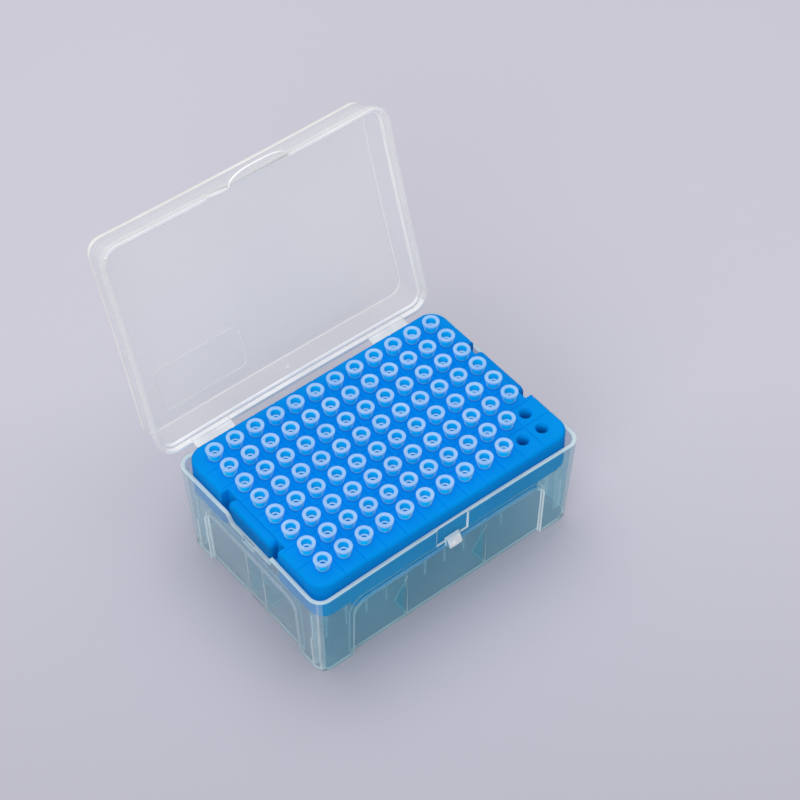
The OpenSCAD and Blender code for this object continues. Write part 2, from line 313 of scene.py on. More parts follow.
def floorPaper():
    # pale paper with painted shade: a little darker towards the viewer, standing in for the lamps' fall-off
    material, nodes, links, shader = newMaterial("paleFloor")
    place = nodes.new("ShaderNodeTexCoord")
    turned = nodes.new("ShaderNodeMapping")
    turned.inputs["Rotation"].default_value = (0, 0, -math.radians(viewpoint["turn"][2]))
    apart = nodes.new("ShaderNodeSeparateXYZ")
    links.new(place.outputs["Object"], turned.inputs["Vector"])
    links.new(turned.outputs["Vector"], apart.inputs["Vector"])
    away = spread(nodes, links, apart.outputs["Y"], 0, 1, studio["floorNear"] * mm, studio["floorFar"] * mm)
    tone = twoTone(nodes, links, away, studio["floorPaintedShade"], studio["floorPaintedLight"], 0, 1)
    links.new(tone, shader.inputs["Base Color"])
    shader.inputs["Roughness"].default_value = 0.7
    shader.inputs["Specular IOR Level"].default_value = 0.15
    return material


bm = bmesh.new()
bmesh.ops.create_grid(bm, x_segments=8, y_segments=8, size=studio["floorHalf"])
floor = finishPiece("floor", bm, [floorPaper()])
floor.data.transform(Matrix.Translation((0, 0, -studio["floorDrop"] * mm)))

world = bpy.data.worlds.new("studioAir")
scene.world = world
world.use_nodes = True
world.node_tree.nodes["Background"].inputs["Color"].default_value = (*studio["worldColour"], 1)
world.node_tree.nodes["Background"].inputs["Strength"].default_value = studio["worldStrength"]

for plan in studio["lamps"]:
    lampData = bpy.data.lights.new(plan["name"], "AREA")
    lampData.size = plan["size"]
    lampData.energy = plan["power"]
    lamp = bpy.data.objects.new(plan["name"], lampData)
    lamp.location = plan["place"]
    lamp.rotation_euler = (Vector(studio["lampAim"]) - lamp.location).to_track_quat("-Z", "Y").to_euler()
    scene.collection.objects.link(lamp)

scene.view_settings.view_transform = "Standard"
scene.cycles.transparent_max_bounces = 40
print("camera, floor and lamps ready")


# base: the imported shell, with walls that bow in and softened edges painted brighter: painted light along
# the edges
baseLook = {
    "wall": {
        "dark": (0.02, 0.46, 0.65), "light": (0.04, 0.54, 0.73), "cloudScale": 40,
        "roughness": (0.14, 0.22), "specular": 0.3,
        "alpha": 0.172, "glanceAlpha": 0.33, "glanceBlend": 0.25, "cloudAlpha": 0.008,
        "grainScale": 500, "grain": 0.02,
    },
    # edge: painted light, whiter and denser where light runs along the plastic's edges, ledges and foot
    # soles
    "edge": {
        "dark": (0.74, 0.92, 0.94), "light": (0.85, 0.98, 1.0), "cloudScale": 90,
        "roughness": (0.2, 0.3), "specular": 0.5,
        "alpha": 0.68, "glanceAlpha": 0.84, "glanceBlend": 0.4, "cloudAlpha": 0.04,
        "grainScale": 700, "grain": 0.03,
    },
    "rim": {
        "dark": (0.54, 0.68, 0.70), "light": (0.62, 0.75, 0.76), "cloudScale": 60,
        "roughness": (0.25, 0.35), "specular": 0.5,
        "alpha": 0.8, "glanceAlpha": 0.92, "glanceBlend": 0.4, "cloudAlpha": 0.05,
        "grainScale": 700, "grain": 0.05,
    },
    # step: painted light on faces that turn down into shade
    "step": {
        "dark": (0.74, 0.90, 0.92), "light": (0.86, 0.97, 0.98), "cloudScale": 90,
        "roughness": (0.2, 0.3), "specular": 0.5,
        "alpha": 0.26, "glanceAlpha": 0.5, "glanceBlend": 0.4, "cloudAlpha": 0.05,
        "grainScale": 700, "grain": 0.02,
    },
    "catch": {
        "dark": (0.90, 0.95, 0.97), "light": (1.0, 1.0, 1.0), "cloudScale": 300,
        "roughness": (0.15, 0.3), "specular": 0.5,
        "alpha": 0.72, "glanceAlpha": 0.9, "glanceBlend": 0.4, "cloudAlpha": 0.12,
        "grainScale": 900, "grain": 0.05,
    },
    # painted light: the short walls' outer faces are painted milkier, as if lit from the side
    "paintedsidelight": {
        "dark": (0.50, 0.66, 0.74), "light": (0.58, 0.73, 0.80), "cloudScale": 40,
        "roughness": (0.2, 0.3), "specular": 0.3,
        "alpha": 0.2, "glanceAlpha": 0.42, "glanceBlend": 0.25, "cloudAlpha": 0.03,
        "grainScale": 500, "grain": 0.02,
    },
    "longBow": 0.83, "shortBow": 0.33, "hingeSideBow": 0.5,  # brackets hold the hinge side straighter
    "cutReach": (50, 30), "cutSpacing": 10,  # extra points that let the walls bow
    # where one finish ends and the next begins
    "rimDepth": 4, "ledgeHeight": 30, "footHeight": 2,
    "catchHalf": 4, "catchDepth": 2.2,
    "archHeight": 32, "archHalf": (50, 32), "archDepth": (5.0, 5.5),
    "finStart": (49, 30), "wallDepth": 3, "paintedSideLightDepth": 2,
    # softened edges: full width outside, less within and round the slots in the rim
    "edgeWidth": 0.36, "edgeAngle": 38, "withinShare": 0.6, "slotShare": 0.3,
    "withinDepth": 3.5, "slotDepth": 4.5, "slotHalf": 16, "slotHeight": 28,
}
baseParts = ("wall", "edge", "rim", "step", "catch", "paintedsidelight")
baseMaterials = [clearPlastic("base" + part.capitalize() + "Plastic", baseLook[part]) for part in baseParts]
baseLow, baseHigh = nodeBox("base")
baseTop = baseHigh.z
baseHalfX, baseHalfY = baseHigh.x, -nodeBox("rack_plate")[0].y + 2.8


def basePart(face):
    # which finish a face of the base has
    centre, lean = face.calc_center_median(), face.normal
    fromEnd, fromSide = baseHalfX - abs(centre.x), baseHalfY - abs(centre.y)
    archX, archY = baseLook["archHalf"]
    nearShort = fromEnd < baseLook["archDepth"][0] and abs(centre.y) < archY
    nearLong = fromSide < baseLook["archDepth"][1] and abs(centre.x) < archX
    archStep = (nearLong and abs(lean.y) < 0.6) or (nearShort and abs(lean.x) < 0.6)
    beyondFins = abs(centre.x) > baseLook["finStart"][0] and abs(centre.y) > baseLook["finStart"][1]
    if lean.z > 0.25 and centre.z > baseTop - baseLook["rimDepth"]:
        return "rim"
    # ledges and foot soles take the edge finish: painted light on the plastic's cut faces
    onLedge = lean.z > 0.7 and centre.z > baseLook["ledgeHeight"]
    underFoot = lean.z < -0.7 and centre.z < baseLook["footHeight"]
    if onLedge or underFoot:
        return "edge"
    onFront = centre.y < baseLow.y + baseLook["catchDepth"]
    if onFront and abs(centre.x) < baseLook["catchHalf"] and centre.z > baseLook["ledgeHeight"]:
        return "catch"
    # painted light: the arch steps and the inner fins are painted paler, where they face down into shade
    if archStep and centre.z < baseLook["archHeight"]:
        return "step"
    if beyondFins and min(fromEnd, fromSide) > baseLook["wallDepth"] and abs(lean.z) < 0.3:
        return "step"
    outward = lean.x * centre.x > 0.7 * abs(centre.x)
    if outward and fromEnd < baseLook["archDepth"][0] and centre.z < baseTop - baseLook["paintedSideLightDepth"]:
        return "paintedsidelight"  # painted light: the short walls are painted milkier, as if lit from the side
    return "wall"


def baseSoftness(edge):
    # how much of the full bevel an edge of the base gets
    middle = (edge.verts[0].co + edge.verts[1].co) / 2
    fromEnd, fromSide = baseHalfX - abs(middle.x), baseHalfY - abs(middle.y)
    atSlot = fromEnd < baseLook["slotDepth"] and abs(middle.y) < baseLook["slotHalf"]
    if atSlot and middle.z > baseLook["slotHeight"]:
        return baseLook["slotShare"]
    return baseLook["withinShare"] if min(fromEnd, fromSide) > baseLook["withinDepth"] else 1


bm = copiedNode("base")
for axis, reach in enumerate(baseLook["cutReach"]):
    cutAcross(bm, axis, range(-reach, reach + 1, baseLook["cutSpacing"]))
for vert in bm.verts:
    up = max(0, vert.co.z / baseTop)
    long = baseLook["longBow"] * up * (baseLook["hingeSideBow"] if vert.co.y > 0 else 1)
    vert.co = bowedIn(vert.co, baseHalfX, baseHalfY, long, baseLook["shortBow"] * up)
for face in bm.faces:
    face.material_index = baseParts.index(basePart(face))
bm.normal_update()
width = bm.edges.layers.float.new("bevel_weight_edge")
for edge in bm.edges:
    if len(edge.link_faces) == 2 and edge.calc_face_angle() > math.radians(baseLook["edgeAngle"]):
        edge[width] = baseSoftness(edge)
base = finishPiece("baseShell", bm, baseMaterials, 30)
# the bevel faces take the edge finish: painted light along every softened edge
softened = softenEdges(base, baseLook["edgeWidth"], 2, baseLook["edgeAngle"], baseParts.index("edge"))
softened.limit_method = "WEIGHT"
softened.use_clamp_overlap = False
evenShading(base)
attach(base, "box")
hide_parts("base")
print("base ready")


# rack plate: skin with a filleted edge, grooves between the cells, sleeved holes, skirt and two tongues
plate = {
    "look": {
        "dark": (0.0, 0.262, 0.77), "light": (0.0, 0.29, 0.82), "cloudScale": 30,
        "roughness": (0.42, 0.52), "specular": 0.018, "grainScale": 2200, "grain": 0.15,
        # painted shade: the skirt darkens below the deck's edge
        "paintedShadeLevel": 0.92, "paintedShadeLowZ": 44.8, "paintedShadeTopZ": 47.4,
    },
    "tongueLook": {
        "dark": (0.0, 0.25, 0.75), "light": (0.0, 0.28, 0.80), "cloudScale": 30,
        "roughness": (0.42, 0.52), "specular": 0.018, "grainScale": 2200, "grain": 0.15,
        # painted shade: the tongues darken well down their faces
        "paintedShadeLevel": 0.64, "paintedShadeLowZ": 43.6, "paintedShadeTopZ": 46.6,
    },
    "boreLook": {  # painted light: a lighter blue for daylight coming through the wall of a hole, with painted shade lower down
        "dark": (0.0, 0.40, 0.93), "light": (0.0, 0.46, 0.98), "cloudScale": 30,
        "roughness": (0.42, 0.52), "specular": 0.03, "grainScale": 2200, "grain": 0.15,
        "paintedShadeLevel": 0.8, "paintedShadeLowZ": 42.0, "paintedShadeTopZ": 46.5,
    },
    "width": 115.4, "depth": 79.0, "cornerRadius": 7.0,
    "fillet": 1.5, "bayFillet": 0.45,
    "bayX": 54.7, "bayY": 16.6, "bayWall": 1.8,
    "stepZ": 31.2, "skirtZ": 29.0, "stepIn": 1.1,
    "longSkirtX": 42.2, "longSkirtDrop": 3.8,
    "plateThickness": 2.0, "wallThickness": 1.5,
    "pitch": 9.0, "columns": 12, "rows": 8,
    "holeSides": 24, "holeRadius": 2.12, "sinkRadius": 2.5, "sinkDepth": 0.6, "softRim": 0.18,
    "sleeveRadius": 2.9, "sleeveDepth": 5.5,
    "grooveDepth": 0.36, "grooveHalf": 0.5, "grooveFade": (0.6, 0.18),  # on the fillet and down the skirt
    "tongueHalf": 12.6, "tongueOut": 58.1, "tongueTop": 46.7, "tongueLow": 38.0,
    "tongueRounds": (2.6, 1.8, 1.7),  # front top corner, rear top corner, outer face
}
blue = solidPlastic("bluePlatePlastic", plate["look"])
glowBlue = solidPlastic("blueBorePlastic", plate["boreLook"])
tongueBlue = solidPlastic("blueTonguePlastic", plate["tongueLook"])
low, high = nodeBox("rack_plate")
plateTop = high.z


def plateOutline(bm, z):
    # rounded outline with a bay in each short side and a deeper stretch of skirt in each long one
    halfX, halfY, reach = plate["width"] / 2, plate["depth"] / 2, plate["longSkirtX"]
    bayX, bayY = plate["bayX"], plate["bayY"]
    straightX, straightY = halfX - plate["cornerRadius"] - 1, halfY - plate["cornerRadius"] - 1
    edges = roundedRing(bm, halfX, halfY, plate["cornerRadius"], z, 8, 4, 4)
    verts = {v for e in edges for v in e.verts}
    for side in (-1, 1):
        across = [v for v in verts if v.co.x * side > halfX - nearly and abs(v.co.y) < straightY]
        across.sort(key=lambda v: v.co.y)
        for vert, x, y in zip(across, (halfX, bayX, bayX, halfX), (-bayY, -bayY, bayY, bayY)):
            vert.co.x, vert.co.y = side * x, y
        along = [v for v in verts if v.co.y * side > halfY - nearly and abs(v.co.x) < straightX]
        along.sort(key=lambda v: v.co.x)
        for vert, x in zip(along, (-reach - 0.1, -reach, reach, reach + 0.1)):
            vert.co.x = x
    return edges


def platePoint(home, inset, z, bayInset, drop=0.0):
    halfX, halfY, reach = plate["width"] / 2, plate["depth"] / 2, plate["longSkirtX"]
    if abs(home.y) < plate["bayY"] + nearly:
        inBay = abs(home.x) < plate["bayX"] + nearly
        x = abs(home.x) - (bayInset if inBay else inset)
        return Vector((math.copysign(x, home.x), math.copysign(plate["bayY"] + bayInset, home.y), z))
    lower = drop if abs(home.x) < reach + nearly else 0
    return stepIn(home, halfX, halfY, plate["cornerRadius"], inset, z - lower)


def cellCentre(value, count):
    # the nearest cell middle along one axis
    pitch = plate["pitch"]
    offset = (count - 1) / 2
    return (min(max(round(value / pitch + offset), 0), count - 1) - offset) * pitch


def cellMiddle(co):
    return Vector((cellCentre(co.x, plate["columns"]), cellCentre(co.y, plate["rows"]), 0))


bm = bmesh.new()
fillet, steps = plate["fillet"], 5
ring = plateOutline(bm, plate["skirtZ"])
homes = ringHomes(ring)
for vert in homes:
    vert.co = platePoint(homes[vert], plate["stepIn"], plate["skirtZ"], 0.3, plate["longSkirtDrop"])
heights = [(plate["stepIn"], plate["stepZ"], 0.3), (0.0, plate["stepZ"] + 0.05, 0.0)]
for step in range(steps + 1):
    angle = math.pi / 2 * step / steps
    inset = fillet * (1 - math.cos(angle))
    heights.append((inset, plateTop - fillet * (1 - math.sin(angle)), inset * plate["bayFillet"] / fillet))
for inset, z, bayInset in heights:
    ring = growRing(bm, ring, homes, lambda home: platePoint(home, inset, z, bayInset))
topEdges = list(ring)
for column in range(plate["columns"]):
    for row in range(plate["rows"]):
        x = (column - (plate["columns"] - 1) / 2) * plate["pitch"]
        y = (row - (plate["rows"] - 1) / 2) * plate["pitch"]
        made = bmesh.ops.create_circle(bm, segments=plate["holeSides"],
                                       radius=plate["sinkRadius"] + plate["softRim"],
                                       matrix=Matrix.Translation((x, y, plateTop)))
        topEdges += list({e for v in made["verts"] for e in v.link_edges})
bmesh.ops.triangle_fill(bm, use_beauty=True, edges=topEdges, normal=(0, 0, 1))
print("plate skin filled:", len(bm.faces), "faces")

# grooves run along the cell borders, over the edge and fade down the skirt
half = plate["grooveHalf"]
for axis, count in ((0, plate["columns"]), (1, plate["rows"])):
    lines = [(k - count / 2) * plate["pitch"] for k in range(1, count)]
    shifts = (-half, -half * 0.5, 0, half * 0.5, half)
    cutAcross(bm, axis, [line + shift for line in lines for shift in shifts])


def grooveDepth(co):
    depth = 0
    for value, count in ((co.x, plate["columns"]), (co.y, plate["rows"])):
        line = round(value / plate["pitch"] - count / 2) * plate["pitch"] + count / 2 * plate["pitch"]
        away = abs(value - line)
        if away < half and abs(line) < count / 2 * plate["pitch"] - 1:
            profile = 0.5 + 0.5 * math.cos(math.pi * away / half)
            depth = max(depth, plate["grooveDepth"] * profile)
    onTop, onFillet = co.z > plateTop - 0.05, co.z > plateTop - fillet * 0.9
    return depth * (1 if onTop else plate["grooveFade"][0] if onFillet else plate["grooveFade"][1])


bm.normal_update()
moves = {}
for vert in bm.verts:
    if vert.co.z >= plate["stepZ"] + 0.5:
        moves[vert] = -vert.normal * grooveDepth(vert.co)
for vert, move in moves.items():
    vert.co += move

# hole rims, countersinks and bores
rim = [e for e in bm.edges if e.is_boundary and min(v.co.z for v in e.verts) > plateTop - 0.2]
levels = [
    (plate["sinkRadius"] + 0.06, 0.07), (plate["sinkRadius"] - 0.04, 0.24),
    (plate["holeRadius"] + 0.05, plate["sinkDepth"] - 0.02), (plate["holeRadius"], plate["sinkDepth"] + 0.2),
    (plate["holeRadius"], plate["sleeveDepth"]), (plate["sleeveRadius"], plate["sleeveDepth"]),
    (plate["sleeveRadius"], plate["plateThickness"]),
]
for radius, depth in levels:
    grown = bmesh.ops.extrude_edge_only(bm, edges=rim)["geom"]
    rim = [g for g in grown if isinstance(g, bmesh.types.BMEdge) and g.is_boundary]
    for vert in (g for g in grown if isinstance(g, bmesh.types.BMVert)):
        centre = cellMiddle(vert.co)
        arm = Vector((vert.co.x, vert.co.y, 0)) - centre
        vert.co = centre + arm.normalized() * radius
        vert.co.z = plateTop - depth
bores = [e for e in rim if e.is_boundary]

# inner wall of the skirt and underside of the plate
inner = plate["stepIn"] + plate["wallThickness"]
underZ = plateTop - plate["plateThickness"]
ring = [e for e in bm.edges if e.is_boundary and max(v.co.z for v in e.verts) < plate["stepZ"] - 0.1]


def skirtHome(co):
    # a skirt point's spot on the first outline, for the points that the groove cuts added too
    stepped, bayX, bayY = plate["stepIn"], plate["bayX"], plate["bayY"]
    if abs(co.y) < bayY + 0.5 and abs(co.x) > bayX - 1:
        x = math.copysign(bayX if abs(co.x) < bayX else plate["width"] / 2, co.x)
        y = math.copysign(bayY, co.y) if abs(co.y) > bayY - 0.1 else co.y
        return Vector((x, y, 0))
    return stepIn(co, plate["width"] / 2 - stepped, plate["depth"] / 2 - stepped,
                  plate["cornerRadius"] - stepped, -stepped, 0)


def innerPoint(home, z, drop):
    if abs(home.y) < plate["bayY"] - 0.1:
        return Vector((math.copysign(plate["bayX"] - plate["bayWall"], home.x), home.y, z))
    return platePoint(home, inner, z, plate["bayWall"], drop)


homes = {vert: skirtHome(vert.co) for vert in {v for e in ring for v in e.verts}}
for z, drop in ((plate["skirtZ"], plate["longSkirtDrop"]), (underZ, 0.0)):
    ring = growRing(bm, ring, homes, lambda home: innerPoint(home, z, drop))
bmesh.ops.triangle_fill(bm, use_beauty=True, edges=ring + bores, normal=(0, 0, -1))
bmesh.ops.remove_doubles(bm, verts=bm.verts, dist=0.004)
bmesh.ops.dissolve_degenerate(bm, edges=bm.edges, dist=0.004)
bmesh.ops.recalc_face_normals(bm, faces=bm.faces)
print("plate shell closed:", len(bm.faces), "faces,", sum(e.is_boundary for e in bm.edges), "open edges")
for face in bm.faces:
    spot = face.calc_center_median()
    arm = spot - cellMiddle(spot)
    if math.hypot(arm.x, arm.y) < plate["holeRadius"] + 0.1:
        face.material_index = 1  # the bore
rack = finishPiece("rackPlate", bm, [blue, glowBlue], 40)
evenShading(rack)
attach(rack, "box")
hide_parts("rack_plate")


def fingerTongue(name, side):
    # a thick bar whose front top corner is rounder than the rear one
    bm = bmesh.new()
    bmesh.ops.create_cube(bm, size=1)
    inX, outX = plate["bayX"] - 0.6, plate["tongueOut"]
    lowZ, topZ = plate["tongueLow"], plate["tongueTop"]
    for vert in bm.verts:
        vert.co.x = inX if vert.co.x < 0 else outX
        vert.co.y = plate["tongueHalf"] * (1 if vert.co.y > 0 else -1)
        vert.co.z = topZ if vert.co.z > 0 else lowZ

    def roundEdges(test, offset, segments):
        edges = [e for e in bm.edges if all(test(v.co) for v in e.verts)]
        bmesh.ops.bevel(bm, geom=edges, offset=offset, segments=segments,
                        affect="EDGES", profile=0.5, material=-1)

    frontRound, rearRound, outerRound = plate["tongueRounds"]
    roundEdges(lambda co: co.z > topZ - nearly and co.y < 0, frontRound, 7)
    roundEdges(lambda co: co.z > topZ - nearly and co.y > plate["tongueHalf"] - nearly, rearRound, 4)
    roundEdges(lambda co: co.x > outX - nearly, outerRound, 7)
    if side < 0:
        bmesh.ops.scale(bm, vec=(-1, 1, 1), verts=bm.verts)
    bmesh.ops.recalc_face_normals(bm, faces=bm.faces)
    piece = finishPiece(name, bm, [tongueBlue], 40)
    evenShading(piece)
    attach(piece, "box")


fingerTongue("fingerTongueLeft", -1)
fingerTongue("fingerTongueRight", 1)
print("rack plate ready")


# tips: one turned outline per tip, ribbed collar, open bore
# the tips are one clear plastic; their parts below carry painted light: the plate's blue seen through,
# painted highlights on ledge and ribs, painted shade in the plug, a painted glow in flare and collar
tipPlan = {
    "ring": {
        "dark": (0.41, 0.64, 0.97), "light": (0.48, 0.70, 1.0), "cloudScale": 160,
        "roughness": (0.28, 0.40), "specular": 0.3,
        "alpha": 0.66, "glanceAlpha": 0.8, "glanceBlend": 0.4, "cloudAlpha": 0.04,
        "grainScale": 1500, "grain": 0.04,
    },
    "flare": {
        "dark": (0.34, 0.72, 1.0), "light": (0.42, 0.79, 1.0), "cloudScale": 160,
        "roughness": (0.3, 0.4), "specular": 0.1,
        "alpha": 0.7, "glanceAlpha": 0.9, "glanceBlend": 0.5, "cloudAlpha": 0.05,
        "centreTint": (0.0, 0.84, 1.0), "centreFade": (0.6, 0.84), "glow": 0.06,
        "grainScale": 1500, "grain": 0.04,
    },
    "bore": {
        "dark": (0.0, 0.47, 0.92), "light": (0.0, 0.53, 0.96), "cloudScale": 160,
        "roughness": (0.2, 0.3), "specular": 0.2,
        "alpha": 0.76, "glanceAlpha": 0.8, "glanceBlend": 0.25, "cloudAlpha": 0.06,
        "grainScale": 1500, "grain": 0.03,
    },
    "collar": {
        "dark": (0.26, 0.68, 1.0), "light": (0.32, 0.75, 1.0), "cloudScale": 160,
        "roughness": (0.3, 0.4), "specular": 0.1,
        "alpha": 0.75, "glanceAlpha": 0.9, "glanceBlend": 0.5, "cloudAlpha": 0.06,
        "centreTint": (0.14, 0.90, 1.0), "centreFade": (0.42, 0.68), "glow": 0.06,
        "grainScale": 1500, "grain": 0.03,
    },
    "rib": {
        "dark": (0.34, 0.74, 0.98), "light": (0.42, 0.80, 1.0), "cloudScale": 160,
        "roughness": (0.2, 0.3), "specular": 0.2,
        "alpha": 0.6, "glanceAlpha": 0.85, "glanceBlend": 0.5, "cloudAlpha": 0.05,
        "centreTint": (0.36, 0.90, 1.0), "centreFade": (0.42, 0.68), "glow": 0.05,
        "grainScale": 1500, "grain": 0.04,
    },
    "ledge": {
        "dark": (0.56, 0.82, 0.96), "light": (0.66, 0.90, 1.0), "cloudScale": 160,
        "roughness": (0.2, 0.3), "specular": 0.5,
        "alpha": 0.88, "glanceAlpha": 0.9, "glanceBlend": 0.4, "cloudAlpha": 0.05,
        "grainScale": 1500, "grain": 0.04,
    },
    "plug": {
        "dark": (0.0, 0.36, 0.76), "light": (0.02, 0.42, 0.82), "cloudScale": 160,
        "roughness": (0.2, 0.3), "specular": 0.3,
        "alpha": 0.9, "glanceAlpha": 0.9, "glanceBlend": 0.4, "cloudAlpha": 0.05,
        "grainScale": 1500, "grain": 0.04,
    },
    "body": {
        "dark": (0.60, 0.80, 0.88), "light": (0.70, 0.86, 0.92), "cloudScale": 160,
        "roughness": (0.12, 0.2), "specular": 0.5,
        "alpha": 0.12, "glanceAlpha": 0.4, "glanceBlend": 0.3, "cloudAlpha": 0.02,
        "grainScale": 1500, "grain": 0.03,
    },
    "shade": 0.3,  # share of a shadow that the clear walls throw
    "sides": 24, "ringRadius": 3.25,
    "ribOut": 0.06, "ribIn": 0.03, "ribRadii": (2.4, 2.65), "ribDepths": (3.55, 4.3),
    # where one finish ends and the next begins
    "ringDepth": 1.1, "mouthRadius": 1.85, "ledgeDepths": (3.25, 3.55), "ledgeRadius": 1.8,
    "flareDepth": 3.75, "shellRadius": 2.0, "boreDepth": 3.3, "collarRadius": 2.1, "collarDepth": 4.73,
    "paintedHighlightDepth": 4.24, "plugDepths": (4.7, 10), "plugRadius": 1.7, "throatDepth": 12, "throatRadius": 1.4,
    # radius and depth below the top, round the section: ring, flare, collar, body, point, then up the bore
    "outline": [
        (1.85, 0.55), (1.98, 0.33), (2.14, 0.28), (3.02, 0.28), (3.20, 0.32), (3.29, 0.45), (3.29, 0.72),
        (3.22, 1.0), (3.0, 1.95), (2.80, 2.85), (2.66, 3.45), (2.58, 3.75), (2.57, 4.2), (2.48, 4.36),
        (2.36, 4.5), (2.26, 4.7), (2.05, 4.74), (2.02, 7.4), (1.95, 13.5), (1.45, 15.0), (1.05, 37.5),
        (0.70, 38.3), (0.45, 46.25), (0.37, 46.3), (0.21, 46.3), (0.25, 37.0), (1.0, 15.5), (1.15, 13.0),
        (1.28, 3.7), (1.36, 3.5), (1.54, 3.42), (1.68, 3.38), (1.78, 3.2),
    ],
}
tipParts = ("ring", "flare", "bore", "collar", "rib", "ledge", "plug", "body")
tipMaterials = [clearPlastic("tip" + part.capitalize() + "Plastic", tipPlan[part], tipPlan["shade"])
                for part in tipParts]


def tipPart(radius, depth, side):
    # which finish a face of a tip has, from its place in the section
    if depth < tipPlan["ringDepth"] and radius > tipPlan["mouthRadius"]:
        return "ring"
    # painted highlight: the ledge inside the bore is painted pale
    ledgeTop, ledgeLow = tipPlan["ledgeDepths"]
    if ledgeTop < depth < ledgeLow and radius < tipPlan["ledgeRadius"]:
        return "ledge"
    if depth < tipPlan["flareDepth"] and radius > tipPlan["shellRadius"]:
        return "flare"
    # painted light: the bore takes the blue of the plate seen through the clear wall
    if depth < tipPlan["boreDepth"]:
        return "bore"
    # painted highlight: every third side of the collar and its lowest band are painted paler
    if radius > tipPlan["collarRadius"] and depth < tipPlan["collarDepth"]:
        return "rib" if depth > tipPlan["paintedHighlightDepth"] or side % 3 == 0 else "collar"
    # painted shade: the tip's walls inside the plate's hole and its narrow throat are painted deep blue
    plugTop, plugLow = tipPlan["plugDepths"]
    inHole = plugTop < depth < plugLow and radius > tipPlan["plugRadius"]
    inThroat = depth < tipPlan["throatDepth"] and radius < tipPlan["throatRadius"]
    return "plug" if inHole or inThroat else "body"


def turnedTip():
    bm = bmesh.new()
    sideTurn = 2 * math.pi / tipPlan["sides"]
    verts = [bm.verts.new((radius, 0, -depth)) for radius, depth in tipPlan["outline"]]
    edges = [bm.edges.new(pair) for pair in zip(verts, verts[1:] + verts[:1])]
    bmesh.ops.spin(bm, geom=verts + edges, axis=(0, 0, 1), cent=(0, 0, 0), angle=2 * math.pi,
                   steps=tipPlan["sides"], use_merge=True)
    bmesh.ops.remove_doubles(bm, verts=bm.verts, dist=0.0005)
    bmesh.ops.recalc_face_normals(bm, faces=bm.faces)
    (ribInner, ribOuter), (ribTop, ribLow) = tipPlan["ribRadii"], tipPlan["ribDepths"]
    for vert in bm.verts:  # gripping ribs on the collar: every second side stands out
        radius = math.hypot(vert.co.x, vert.co.y)
        if ribInner < radius < ribOuter and ribTop < -vert.co.z < ribLow:
            side = round(math.atan2(vert.co.y, vert.co.x) / sideTurn)
            grow = tipPlan["ribOut"] if side % 2 == 0 else -tipPlan["ribIn"]
            vert.co.x *= 1 + grow / radius
            vert.co.y *= 1 + grow / radius
    for face in bm.faces:
        spot = face.calc_center_median()
        side = round(math.atan2(spot.y, spot.x) / sideTurn - 0.5)
        face.material_index = tipParts.index(tipPart(math.hypot(spot.x, spot.y), -spot.z, side))
    mesh = bpy.data.meshes.new("turnedTip")
    bm.to_mesh(mesh)
    bm.free()
    return mesh


tipMesh = turnedTip()
for name in sorted(n for n in frame["nodes"] if n.startswith("tips_column")):
    low, high = nodeBox(name)
    ringRadius = tipPlan["ringRadius"]
    count = round((high.y - low.y - 2 * ringRadius) / plate["pitch"]) + 1
    bm = bmesh.new()
    for row in range(count):
        known = set(bm.verts)
        bm.from_mesh(tipMesh)
        fresh = [v for v in bm.verts if v not in known]
        place = Vector(((low.x + high.x) / 2, high.y - ringRadius - row * plate["pitch"], high.z))
        turn = Matrix.Rotation(row * 1.3 + low.x, 4, "Z")
        bmesh.ops.transform(bm, matrix=Matrix.Translation(place) @ turn, verts=fresh)
    column = finishPiece("tipsColumn" + name[-2:], bm, tipMaterials, 38)
    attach(column, "box")
    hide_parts(name)
bpy.data.meshes.remove(tipMesh)
print("tips ready")


